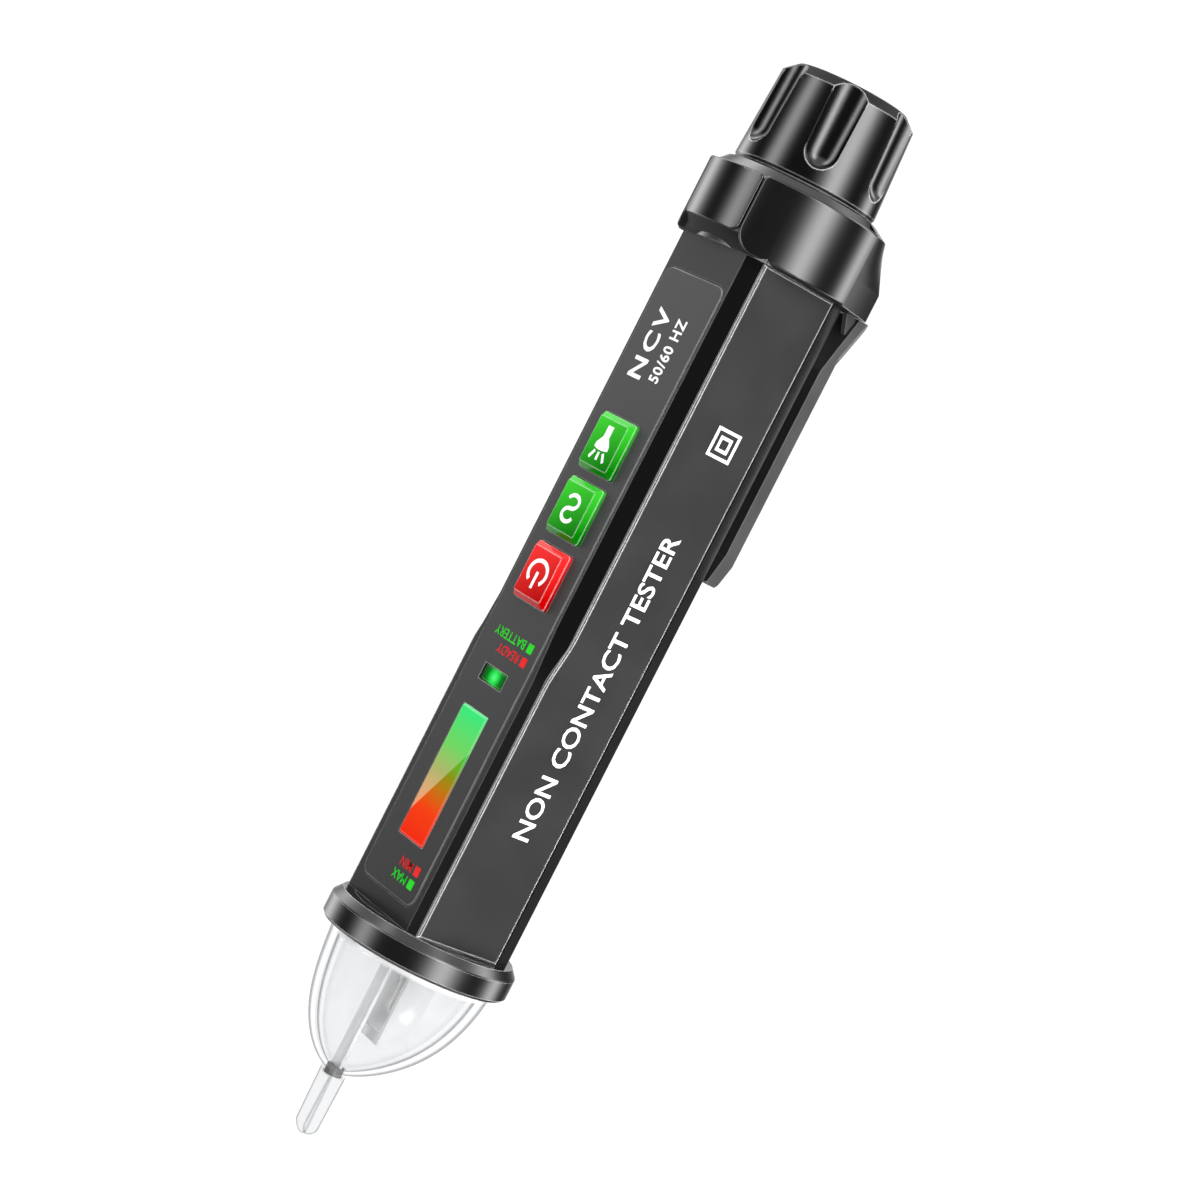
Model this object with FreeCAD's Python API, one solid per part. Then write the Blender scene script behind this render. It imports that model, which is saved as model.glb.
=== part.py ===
import FreeCAD, Part
import math
import os

# Non contact voltage tester: a pen with three push buttons, two windows, a clear nose with a
# blade tip, a collar that carries the pocket clip, and a screw-off tail knob over two AAA cells.
# Millimetres. The pen stands on its flat tail: +Z runs to the tip, -Y is the button side,
# and -X is the left side seen from the buttons. The origin is the centre of the tail face.

V = FreeCAD.Vector
Z_AXIS = V(0, 0, 1)

# Stations along the pen
LENGTH = 156.0
KNOB_END = 14.4
COLLAR_START = 14.6
COLLAR_END = 26.0
KINK_START = 79.8
KINK_END = 87.6
BODY_END = 123.9
RING_END = 128.3
DOME_END = 146.9

# Body section: an octagon whose front bevel is narrower on the nose side of the kink
BODY_HALF_WIDTH = 9.5
BODY_HALF_DEPTH = 8.95
TAIL_FLAT = 7.4
TAIL_SHOULDER = -7.15
NOSE_FLAT = 8.1
NOSE_SHOULDER = -8.0
BACK_FLAT = 7.55
BACK_SHOULDER = 6.0
WALL = 1.5

# Side plates
PLATE_HALF_WIDTH = 9.8
PLATE_FLOOR = 8.3
PLATE_BACK = 5.6

# Round parts
COLLAR_RADIUS = 12.3
COLLAR_TAPER_START = 24.0
PAD_RADIUS = 12.7
BULGE_RADIUS = 12.85
RING_RADIUS = 13.6
NECK_RADIUS = 10.2
NOSE_NECK_RADIUS = 10.8

# Tail knob and its screw thread
KNOB_TIP_RADIUS = 9.6
KNOB_BASE_RADIUS = 10.3
KNOB_FLUTES = 6
FLUTE_TURN = 7.0
FLUTE_END = 9.65
THREAD_CORE = 7.95
THREAD_HEIGHT = 0.5
THREAD_PITCH = 2.0
THREAD_START = 16.6
THREAD_END = 20.4

# Front panel
LABEL_HALF_WIDTH = 6.95
LABEL_START = 31.1
LABEL_END = 121.2
LABEL_FACE = -9.1
LABEL_FLOOR = -8.7
LABEL_CORNER = 1.55
LABEL_GAP = 0.15
BUTTON_STATIONS = {"torch": 56.0, "mode": 65.45, "power": 75.0}
BUTTON_WIDTH = 8.0
BUTTON_FACE = -10.25
BUTTON_GAP = 0.1
LED_WINDOW = (5.8, 2.3, 89.8)
BAR_WINDOW = (6.5, 19.2, 104.3)

# Circuit board and switches
BOARD_FRONT = -5.6
BOARD_BACK = -4.6
BOARD_START = 50.0
BOARD_END = 121.5
TONGUE_END = 127.6
SWITCH_FRONT = -6.4
PLUNGER_FRONT = -6.9

# Two AAA cells in line, behind the board
CELL_RADIUS = 5.25
CELL_LENGTH = 44.5
CELL_OFFSET = 1.45
CELL_START = 7.6
SLEEVE_BORE = 5.45
SLEEVE_RADIUS = 5.85

# The clip's boss: how far it stands out from the bulge, by degrees round from the front
BOSS_GROWTH = {116.0: 0.0, 135.4: 0.65, 151.9: 2.45, 158.4: 3.15, 166.8: 2.96}

# Clear nose
DOME_RADIUS = 11.8
DOME_SHIFT = -3.1
DOME_WALL = 1.3
SENSOR_Y = -3.1


def box(x, y, z):
    """A block from three (low, high) ranges."""
    return Part.makeBox(x[1] - x[0], y[1] - y[0], z[1] - z[0], V(x[0], y[0], z[0]))


def rod(radius, low, high, x=0.0, y=0.0):
    """A cylinder along Z."""
    return Part.makeCylinder(radius, high - low, V(x, y, low), Z_AXIS)


def disc(radius, front, back, x, z):
    """A cylinder along Y."""
    return Part.makeCylinder(radius, back - front, V(x, front, z), V(0, 1, 0))


def prism(points, low, high):
    """An (x, y) outline extruded along Z."""
    corners = [V(x, y, low) for x, y in points]
    wire = Part.makePolygon(corners + corners[:1])
    return Part.Face(wire).extrude(V(0, 0, high - low))


def side_prism(points, half_width):
    """A (y, z) outline extruded along X, centred on the pen."""
    corners = [V(-half_width, y, z) for y, z in points]
    wire = Part.makePolygon(corners + corners[:1])
    return Part.Face(wire).extrude(V(2 * half_width, 0, 0))


def turned(points):
    """An (r, z) outline turned about the pen's axis."""
    corners = [V(r, 0, z) for r, z in points]
    wire = Part.makePolygon(corners + corners[:1])
    return Part.Face(wire).revolve(V(0, 0, 0), Z_AXIS, 360)


def edges_where(shape, test):
    """The edges whose two ends and middle all pass the test."""
    chosen = []
    for edge in shape.Edges:
        middle = edge.valueAt((edge.FirstParameter + edge.LastParameter) / 2)
        points = [vertex.Point for vertex in edge.Vertexes] + [middle]
        if all(test(point) for point in points):
            chosen.append(edge)
    return chosen


def rounded_plate(width, height, station, front, back, corner):
    """A plate in the XZ plane with rounded corners, centred on x = 0."""
    half = width / 2
    plate = box((-half, half), (front, back), (station - height / 2, station + height / 2))
    return plate.makeFillet(corner, edges_where(plate, lambda p: abs(abs(p.x) - half) < 0.01
                                                and abs(abs(p.z - station) - height / 2) < 0.01))


def bevelled_plate(width, height, station, front, back, corner, bevel):
    """A rounded plate whose front face is smaller by the bevel all round."""
    plate = rounded_plate(width, height, station, front + bevel, back, corner)
    inner = corner * 0.6
    top = rounded_plate(width - 2 * bevel, height - 2 * bevel, station, front - 1, front, inner)
    wires = []
    for block, level in ((plate, front + bevel), (top, front)):
        for face in block.Faces:
            if abs(face.CenterOfMass.y - level) < 0.001:
                wires.append(face.OuterWire)
    return plate.fuse(Part.makeLoft(wires, True, True)).removeSplitter()


def octagon(half_width, half_depth, flat, shoulder, back_flat, back_shoulder):
    """The body outline: wide front flat, two front bevels, flat sides and a bevelled back."""
    right = [(flat, -half_depth), (half_width, shoulder),
             (half_width, back_shoulder), (back_flat, half_depth)]
    left = [(-x, y) for x, y in reversed(right)]
    return right + left


def polygon_wire(points, station):
    corners = [V(x, y, station) for x, y in points]
    return Part.makePolygon(corners + corners[:1])


def coil_spring(radius, wire_radius, low, high, turns, y):
    """A helical wire whose ends lie flat between two stations."""
    height = high - low - 2 * wire_radius
    helix = Part.makeHelix(height / turns, height, radius)
    profile = Part.Wire(Part.Circle(V(radius, 0, 0), V(0, 1, 0), wire_radius).toShape())
    coil = Part.Wire(helix).makePipeShell([profile], True, True)
    coil.translate(V(0, y, low + wire_radius))
    return coil


def thread_ridge(core, height, start, end, grow):
    """The helical ridge of the knob's thread, grown on all sides by a clearance."""
    reach = end - start
    half_root = THREAD_PITCH * 0.30 + grow
    half_crest = THREAD_PITCH * 0.14 + grow
    crest = core + height + grow
    root = core - 0.2
    helix = Part.makeHelix(THREAD_PITCH, reach, core)
    corners = [V(root, 0, -half_root), V(crest, 0, -half_crest),
               V(crest, 0, half_crest), V(root, 0, half_root)]
    profile = Part.makePolygon(corners + corners[:1])
    ridge = Part.Wire(helix).makePipeShell([profile], True, True)
    ridge.translate(V(0, 0, start))
    return ridge


# ---- housing ----

def body_block():
    """The solid octagonal body with its front bevel stepping wider after the kink."""
    tail_outline = octagon(BODY_HALF_WIDTH, BODY_HALF_DEPTH, TAIL_FLAT, TAIL_SHOULDER,
                           BACK_FLAT, BACK_SHOULDER)
    nose_outline = octagon(BODY_HALF_WIDTH, BODY_HALF_DEPTH, NOSE_FLAT, NOSE_SHOULDER,
                           BACK_FLAT, BACK_SHOULDER)
    tail = prism(tail_outline, COLLAR_END, KINK_START)
    nose = prism(nose_outline, KINK_END, BODY_END)
    kink_wires = [polygon_wire(tail_outline, KINK_START), polygon_wire(nose_outline, KINK_END)]
    kink = Part.makeLoft(kink_wires, True, True)
    tail_neck = rod(NECK_RADIUS, COLLAR_START + 5.0, COLLAR_END)
    nose_neck = rod(NOSE_NECK_RADIUS, BODY_END, BODY_END + 2.3)
    return tail.fuse([kink, nose, tail_neck, nose_neck]).removeSplitter()


def body_cavity():
    """The hollow inside the two shells."""
    outline = octagon(7.35, BODY_HALF_DEPTH - WALL, 5.9, -6.0, 6.2, 5.2)
    hollow = prism(outline, COLLAR_END, BODY_END)
    tail_bore = rod(8.75, COLLAR_START + 4.9, COLLAR_END)
    nose_bore = rod(9.3, BODY_END, BODY_END + 2.4)
    return hollow.fuse([tail_bore, nose_bore])


def plate_block(floor, face, grow):
    """The left side plate between two distances out; its front edge has an S-shaped kink."""
    low = COLLAR_END + 0.1 - grow
    high = BODY_END - 0.1 + grow
    tail_front = TAIL_SHOULDER - grow
    nose_front = NOSE_SHOULDER - grow
    back = PLATE_BACK + grow
    bend = Part.BezierCurve()
    third = (KINK_END - KINK_START) / 3
    bend.setPoles([V(-face, tail_front, KINK_START), V(-face, tail_front, KINK_START + third),
                   V(-face, nose_front, KINK_END - third), V(-face, nose_front, KINK_END)])
    corners = [V(-face, nose_front, KINK_END), V(-face, nose_front, high), V(-face, back, high),
               V(-face, back, low), V(-face, tail_front, low), V(-face, tail_front, KINK_START)]
    sides = [Part.makeLine(start, end) for start, end in zip(corners, corners[1:])]
    return Part.Face(Part.Wire([bend.toShape()] + sides)).extrude(V(face - floor, 0, 0))


def side_plate():
    """The left grip plate with a bevelled rim."""
    plate = plate_block(PLATE_FLOOR + 0.05, PLATE_HALF_WIDTH, 0.0)
    rim = edges_where(plate, lambda p: abs(p.x + PLATE_HALF_WIDTH) < 0.001)
    return plate.makeChamfer(0.22, rim)


def mirror_x(shape):
    return shape.mirror(V(0, 0, 0), V(1, 0, 0))


def panel_openings():
    """The cutters for the buttons and the two windows, through label and shell."""
    cutters = []
    for station in BUTTON_STATIONS.values():
        size = BUTTON_WIDTH + 2 * BUTTON_GAP
        cutters.append(rounded_plate(size, size, station, -9.6, -7.0, 0.6))
    for width, height, station in (LED_WINDOW, BAR_WINDOW):
        half = width / 2
        cutters.append(box((-half, half), (-9.6, -7.0), (station - height / 2, station + height / 2)))
    return cutters


def label_plate(grow, front):
    """The label's rounded outline, grown on all sides by a gap, up to a front station."""
    width = 2 * (LABEL_HALF_WIDTH + grow)
    height = LABEL_END - LABEL_START + 2 * grow
    middle = (LABEL_START + LABEL_END) / 2
    return rounded_plate(width, height, middle, front, LABEL_FLOOR, LABEL_CORNER + grow)


def housing():
    """Both shells in one piece, before they are split at the middle plane."""
    shell = body_block().cut(body_cavity())
    pocket = plate_block(PLATE_FLOOR, 11.0, 0.05)
    label_pocket = label_plate(LABEL_GAP, -9.6)
    return shell.cut([pocket, mirror_x(pocket), label_pocket] + panel_openings())


def board_posts():
    """The pegs that hold the circuit board off the front wall."""
    posts = []
    for station in (60.7, 84.0, 117.5):
        for side in (-5.3, 5.3):
            posts.append(disc(0.9, -7.6, BOARD_FRONT, side, station))
    return posts


def sleeve_ribs():
    """The saddles in the rear shell that the battery sleeve lies in."""
    ribs = []
    for station in (38.0, 62.0, 86.0):
        rib = box((-7.5, 7.5), (0.5, 7.6), (station, station + 1.2))
        saddle = rod(SLEEVE_RADIUS + 0.05, station - 1, station + 3, 0, CELL_OFFSET)
        strip_slot = box((6.1, 6.6), (0.3, 3.5), (station - 1, station + 3))
        ribs.append(rib.cut([saddle, strip_slot]))
    return ribs


def front_shell():
    front = housing().common(box((-20, 20), (-20, 0), (0, LENGTH)))
    return front.fuse(board_posts()).removeSplitter()


def rear_shell():
    rear = housing().common(box((-20, 20), (0, 20), (0, LENGTH)))
    return rear.fuse(sleeve_ribs()).removeSplitter()


def label_panel():
    label = label_plate(0.0, LABEL_FACE).cut(panel_openings())
    rim = edges_where(label, lambda p: abs(p.y - LABEL_FACE) < 0.001
                      and (abs(p.x) > 4.5 or p.z < LABEL_START + 2 or p.z > LABEL_END - 2))
    return label.makeChamfer(0.12, rim)


def window(size, front, back):
    width, height, station = size
    return bevelled_plate(width - 0.1, height - 0.1, station, front, back, 0.25, 0.2)


# ---- buttons ----

def button(station):
    """A push button: bevelled cap in the opening, and a wider flange behind the wall."""
    cap = bevelled_plate(BUTTON_WIDTH, BUTTON_WIDTH, station, BUTTON_FACE, -7.4, 0.5, 0.7)
    flange = box((-4.35, 4.35), (-7.4, PLUNGER_FRONT), (station - 4.3, station + 4.3))
    return cap.fuse(flange).removeSplitter()


def switch_bodies():
    """Three low tact switches on the board, each with a hole for its plunger."""
    bodies = []
    for station in BUTTON_STATIONS.values():
        body = box((-2.3, 2.3), (SWITCH_FRONT, BOARD_FRONT), (station - 2.3, station + 2.3))
        bodies.append(body.cut(disc(1.1, SWITCH_FRONT - 1, BOARD_FRONT + 1, 0, station)))
    return Part.makeCompound(bodies)


def switch_plunger(station):
    return disc(1.0, PLUNGER_FRONT, PLUNGER_FRONT + 0.8, 0, station)


# ---- electronics ----

def circuit_board():
    """The main board, with a narrow tongue that reaches into the clear nose."""
    board = box((-6.8, 6.8), (BOARD_FRONT, BOARD_BACK), (BOARD_START, BOARD_END))
    tongue = box((-3.0, 3.0), (BOARD_FRONT, BOARD_BACK), (BOARD_END, TONGUE_END))
    return board.fuse(tongue).removeSplitter()


def block_group(blocks):
    return Part.makeCompound([box(*block) for block in blocks])


def main_chip():
    """The controller with its two rows of legs, on the back of the board."""
    body = box((-2.5, 2.5), (BOARD_BACK + 0.1, BOARD_BACK + 1.3), (111.0, 115.4))
    legs = []
    for row in range(6):
        z = 111.4 + row * 0.72
        legs.append(box((-3.6, 3.6), (BOARD_BACK, BOARD_BACK + 0.4), (z, z + 0.3)))
    return body.fuse(legs)


def board_components():
    """Resistors, capacitors and a coil: small blocks soldered to both faces of the board."""
    blocks = []
    for row in range(4):
        z = 79.9 + row * 1.7
        for x in (-3.9, -1.3, 1.3):
            blocks.append(((x, x + 1.6), (BOARD_FRONT - 0.5, BOARD_FRONT), (z, z + 0.8)))
    for row in range(3):
        z = 99.8 + row * 3.0
        blocks.append(((5.3, 6.3), (BOARD_BACK, BOARD_BACK + 0.9), (z, z + 1.9)))
        blocks.append(((-6.3, -5.3), (BOARD_BACK, BOARD_BACK + 0.9), (z, z + 1.9)))
    return block_group(blocks)


def bar_leds():
    """Six surface LEDs under the level window."""
    start = BAR_WINDOW[2] - BAR_WINDOW[1] / 2
    blocks = []
    for index in range(6):
        z = start + 1.2 + index * 3.0
        blocks.append(((-0.8, 0.8), (BOARD_FRONT - 0.6, BOARD_FRONT), (z, z + 1.0)))
    return block_group(blocks)


def bar_light_guide():
    """A milky block that spreads the LEDs' light over the level window."""
    reach = BAR_WINDOW[1] / 2 - 0.1
    middle = BAR_WINDOW[2]
    return box((-3.1, 3.1), (-7.55, BOARD_FRONT - 0.7), (middle - reach, middle + reach))


def status_led():
    middle = LED_WINDOW[2]
    return box((-1.0, 1.0), (BOARD_FRONT - 0.7, BOARD_FRONT), (middle - 0.6, middle + 0.6))


def buzzer():
    """A round piezo buzzer with its sound hole, on the back of the board."""
    can = disc(4.4, BOARD_BACK, BOARD_BACK + 3.0, 0, 104.4)
    return can.cut(disc(0.8, BOARD_BACK + 1.5, BOARD_BACK + 4.0, 0, 104.4))


def antenna():
    """The sensing strip, soldered to the board and reaching into the root of the blade tip."""
    strip = box((-1.1, 1.1), (SENSOR_Y - 0.25, SENSOR_Y + 0.25), (117.6, 145.9))
    foot = box((-1.1, 1.1), (BOARD_BACK, SENSOR_Y), (117.6, 118.1))
    return strip.fuse(foot).removeSplitter()


def sensor_plug():
    return rod(1.25, 145.9, 147.2, 0, SENSOR_Y)


# ---- batteries and contacts ----

def battery_sleeve():
    sleeve = rod(SLEEVE_RADIUS, 21.3, 96.4, 0, CELL_OFFSET)
    return sleeve.cut(rod(SLEEVE_BORE, 20.0, 98.0, 0, CELL_OFFSET))


def battery(start):
    """An AAA cell: rimmed can and positive nub towards the tip."""
    can_end = start + CELL_LENGTH - 1.0
    can = rod(CELL_RADIUS, start, can_end, 0, CELL_OFFSET)
    rims = edges_where(can, lambda p: abs(p.z - start) < 0.01 or abs(p.z - can_end) < 0.01)
    can = can.makeFillet(0.5, rims)
    return can.fuse(rod(1.9, can_end, start + CELL_LENGTH, 0, CELL_OFFSET))


def front_contact():
    """The positive plate and its tab to the board."""
    plate_start = CELL_START + 2 * CELL_LENGTH
    plate = rod(4.6, plate_start, plate_start + 0.4, 0, CELL_OFFSET)
    tab = box((-1.5, 1.5), (BOARD_BACK, CELL_OFFSET), (plate_start, plate_start + 0.4))
    return plate.fuse(tab).removeSplitter()


def negative_strip():
    """The strip that runs beside the sleeve from the tail cup's rim to the board."""
    side = box((6.2, 6.5), (0.4, 3.4), (20.7, 52.0))
    foot = box((6.2, 7.2), (0.4, 3.4), (20.7, 21.0))
    tab = box((6.2, 6.5), (BOARD_BACK, 0.4), (50.6, 52.0))
    return side.fuse([foot, tab]).removeSplitter()


def tail_contact():
    """A thin metal cup inside the knob; its floor carries the spring, its rim meets the strip."""
    cup = rod(7.3, 2.0, 20.6)
    return cup.cut(rod(7.0, 2.4, 21.0))


def tail_spring():
    return coil_spring(3.4, 0.35, 2.4, CELL_START, 3.5, 0.0)


# ---- tail ----

def flute_cutter(angle):
    """One finger flute: a round groove that narrows a little from the tail to a ball end."""
    wires = []
    for radius, reach, station in ((3.3, 11.35, -0.5), (2.8, 11.4, FLUTE_END)):
        wires.append(Part.Wire(Part.Circle(V(0, -reach, station), Z_AXIS, radius).toShape()))
    groove = Part.makeLoft(wires, True, True)
    groove = groove.fuse(Part.makeSphere(2.8, V(0, -11.4, FLUTE_END)))
    groove.rotate(V(0, 0, 0), Z_AXIS, angle)
    return groove


def tail_knob():
    """The fluted knob, hollow for the cup, with a threaded neck."""
    outer = turned([(0, 0), (7.9, 0), (KNOB_TIP_RADIUS, 1.5),
                    (KNOB_BASE_RADIUS - 0.05, KNOB_END - 0.5), (KNOB_BASE_RADIUS - 0.3, KNOB_END),
                    (8.1, KNOB_END), (8.1, 15.8), (THREAD_CORE, 15.8), (THREAD_CORE, 20.5), (0, 20.5)])
    turns = [FLUTE_TURN + index * 360.0 / KNOB_FLUTES for index in range(KNOB_FLUTES)]
    outer = outer.cut([flute_cutter(turn) for turn in turns])
    outer = outer.fuse(thread_ridge(THREAD_CORE, THREAD_HEIGHT, THREAD_START, THREAD_END - 0.8, 0.0))
    outer = outer.common(rod(12.0, -1.0, 20.5))
    return outer.cut(rod(7.4, 2.0, 21.0))


def knob_seal():
    """The O-ring at the root of the knob's neck."""
    return Part.makeTorus(8.6, 0.48, V(0, 0, 15.2), Z_AXIS)


def sector(radius, low, high, start, end):
    """A wedge of a disc, between two angles from the front, positive towards the left side."""
    solid = Part.makeCylinder(radius, high - low, V(0, 0, low), Z_AXIS, end - start)
    solid.rotate(V(0, 0, 0), Z_AXIS, -90 - end)
    return solid


def raised_pad(radius, low, high, start, end, low_corner, high_corner, rim):
    """A raised pad on the collar between two angles, with rounded front corners and a soft rim."""
    pad = sector(radius, low, high, start, end).cut(rod(9.0, low - 1, high + 1))
    for station, corner in ((low, low_corner), (high, high_corner)):
        for angle in (start, end):
            turn = math.radians(angle)
            across = V(-math.cos(turn), math.sin(turn), 0)
            radial = edges_where(pad, lambda p: abs(p.z - station) < 0.01 and abs(p.dot(across)) < 0.01
                                 and p.x * -math.sin(turn) - p.y * math.cos(turn) > 0)
            pad = pad.makeFillet(corner, radial)
    return pad.makeFillet(rim, edges_where(pad, lambda p: math.hypot(p.x, p.y) > radius - 0.001))


def front_pad():
    return raised_pad(PAD_RADIUS, 15.9, COLLAR_TAPER_START, -28.5, 28.5, 0.6, 1.2, 0.2)


def side_bulge():
    """The left bulge of the collar, which runs round into the clip's boss."""
    return raised_pad(BULGE_RADIUS, 15.7, 25.95, 29.2, 150.0, 0.8, 3.0, 0.4)


def around(radius, degrees, station):
    """A point at a distance from the axis, at degrees round from the front to the left side."""
    turn = math.radians(degrees)
    return V(-radius * math.sin(turn), -radius * math.cos(turn), station)


def boss_outline(station, base, swell):
    """The boss's outline: it leaves the bulge smoothly and closes round the back."""
    left = [around(base + swell * growth, degrees, station) for degrees, growth in BOSS_GROWTH.items()]
    right = [V(-point.x, point.y, station) for point in left]
    pieces = [Part.Arc(left[0], left[1], left[2]), Part.Arc(left[2], left[3], left[4]),
              Part.LineSegment(left[4], right[4]), Part.Arc(right[4], right[3], right[2]),
              Part.Arc(right[2], right[1], right[0]), Part.LineSegment(right[0], left[0])]
    return Part.Wire([piece.toShape() for piece in pieces])


def clip_boss():
    """The boss at the collar's back, which swells towards the clip."""
    sections = ((14.75, 11.0, 0.0), (15.9, BULGE_RADIUS, 0.1), (22.0, BULGE_RADIUS, 1.0),
                (COLLAR_END, BULGE_RADIUS, 1.0))
    return Part.makeLoft([boss_outline(*section) for section in sections], True, True)


def collar_taper():
    """The collar's tip side: it runs from round to the body's octagon."""
    corners = octagon(10.4, 9.3, 7.7, -7.9, 7.9, 6.4)
    angles = [math.degrees(math.atan2(-x, -y)) for x, y in corners]
    arcs = []
    for start, end in zip(angles, angles[1:] + angles[:1]):
        middle = (start + end) / 2 if abs(start - end) < 180 else 180.0
        points = [around(COLLAR_RADIUS, degrees, COLLAR_TAPER_START) for degrees in (start, middle, end)]
        arcs.append(Part.Arc(*points).toShape())
    return Part.makeLoft([Part.Wire(arcs), polygon_wire(corners, COLLAR_END)], True, True)


def collar():
    """The collar round the tail of the shells, with its internal thread."""
    body = turned([(0, COLLAR_START), (10.6, COLLAR_START), (10.9, COLLAR_START + 0.1), (12.15, 16.0),
                   (COLLAR_RADIUS, 16.3), (COLLAR_RADIUS, COLLAR_TAPER_START), (0, COLLAR_TAPER_START)])
    bulge = side_bulge()
    additions = [collar_taper(), front_pad(), bulge, mirror_x(bulge), clip_boss()]
    body = body.fuse(additions).removeSplitter()
    bore = rod(NECK_RADIUS + 0.05, COLLAR_START + 4.95, COLLAR_END + 1)
    knob_bore = rod(THREAD_CORE + 0.15, COLLAR_START - 1, 20.5)
    seal_seat = rod(9.15, COLLAR_START - 1, 15.9)
    groove_start = THREAD_START - 2 * THREAD_PITCH
    groove = thread_ridge(THREAD_CORE, THREAD_HEIGHT, groove_start, THREAD_END + 0.4, 0.12)
    return body.cut([bore, knob_bore, seal_seat, groove])


def pocket_clip():
    """The pocket clip: a sprung strap from the boss, with an inward foot and two gussets."""
    half = 6.75
    strap = side_prism([(15.0, 26.1), (14.95, 28.2), (13.0, 34.6), (13.0, 63.0), (12.2, 66.0),
                        (11.8, 66.5), (10.5, 66.5), (10.2, 66.2), (11.1, 61.9), (11.1, 34.4),
                        (13.2, 26.1)], half)
    strap = strap.makeFillet(1.0, edges_where(strap, lambda p: p.y > 12.0 and abs(abs(p.x) - half) < 0.01
                                              and abs(p.z - 66.0) > 3 and p.z > 26.2))
    gusset = side_prism([(11.3, 26.1), (13.4, 26.1), (12.6, 28.9)], 0.45)
    left = gusset.copy()
    left.translate(V(-5.6, 0, 0))
    right = gusset.copy()
    right.translate(V(5.6, 0, 0))
    return strap.fuse([left, right]).removeSplitter()


# ---- nose ----

def front_ring():
    bore = NOSE_NECK_RADIUS + 0.05
    lip = DOME_RADIUS + 0.1
    return turned([(12.6, BODY_END), (RING_RADIUS - 0.1, 125.0), (RING_RADIUS, 125.2),
                   (RING_RADIUS, 127.9), (RING_RADIUS - 0.35, RING_END), (lip, RING_END),
                   (lip, 127.95), (12.45, 127.95), (12.45, 126.3), (bore, 126.3), (bore, BODY_END)])


def nose_seal():
    return rod(12.2, 126.3, 126.8).cut(rod(10.2, 126.0, 127.0))


def dome(inset, share_end):
    """The clear dome, whose centre drifts to the front as it closes on the tip."""
    shares = [0.0, 0.15, 0.3, 0.45, 0.58, 0.69, 0.78, 0.85, 0.905, 0.95, 0.98]
    wires = []
    for share in [value for value in shares if value <= share_end]:
        radius = DOME_RADIUS * (1 - 0.18 * share) * (1 - share ** 3) ** 0.66 - inset
        centre = V(0, DOME_SHIFT * share ** 2, RING_END + share * (DOME_END - RING_END))
        wires.append(Part.Wire(Part.Circle(centre, Z_AXIS, radius).toShape()))
    return Part.makeLoft(wires, True, False)


def blade_tip():
    """The flat blade that is pushed into a socket: a round-ended tongue, thinner to its end."""
    root, end = DOME_END - 1.6, LENGTH
    half = 1.6
    face = box((-half, half), (SENSOR_Y - 3, SENSOR_Y + 3), (root, end - half))
    face = face.fuse(disc(half, SENSOR_Y - 3, SENSOR_Y + 3, 0, end - half))
    edge = side_prism([(SENSOR_Y - 1.15, root), (SENSOR_Y - 0.9, end - 1.2), (SENSOR_Y - 0.45, end),
                       (SENSOR_Y + 0.45, end), (SENSOR_Y + 0.9, end - 1.2), (SENSOR_Y + 1.15, root)], 3)
    return face.common(edge)


def nose_lens():
    """The clear nose: flange under the ring, hollow dome and solid blade tip."""
    outer = dome(0.0, 0.98).fuse([blade_tip(), rod(12.3, 126.8, 127.9), rod(DOME_RADIUS, 127.9, RING_END)])
    hollow = dome(DOME_WALL, 0.95).fuse(rod(DOME_RADIUS - DOME_WALL, 126.0, RING_END))
    plug_bore = rod(1.25, 140.0, 147.2, 0, SENSOR_Y)
    return outer.cut(hollow.fuse(plug_bore))


def led_holder():
    """The white holder: a reflector disc behind the nose and a cradle for the torch LED."""
    plate = rod(9.8, 127.0, 128.0)
    plate = plate.cut([box((-3.2, 3.2), (BOARD_FRONT - 0.2, BOARD_BACK + 0.2), (126, 129)),
                       box((-1.3, 1.3), (SENSOR_Y - 0.4, SENSOR_Y + 0.4), (126, 129)),
                       box((-1.0, 1.0), (1.0, 2.7), (126, 129))])
    parts = []
    for side in (-1, 1):
        parts.append(box(sorted((side * 1.85, side * 2.5)), (-0.6, 4.2), (128.0, 141.0)))
    parts.append(box((-2.5, 2.5), (3.7, 4.2), (128.0, 139.0)))
    parts.append(box((-2.5, 2.5), (-0.6, -0.1), (139.6, 141.0)))
    return plate.fuse(parts).removeSplitter()


def torch_led():
    """A 3 mm LED: flanged base, domed body and two legs to the board."""
    y = 1.85
    dome_end = Part.makeSphere(1.5, V(0, y, 136.0))
    body = rod(1.5, 132.0, 136.0, 0, y).fuse([rod(1.75, 131.2, 132.2, 0, y), dome_end])
    legs = [box((x, x + 0.4), (y - 0.2, y + 0.2), (120.0, 131.3)) for x in (-0.85, 0.45)]
    return body.fuse(legs).removeSplitter()


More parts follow.
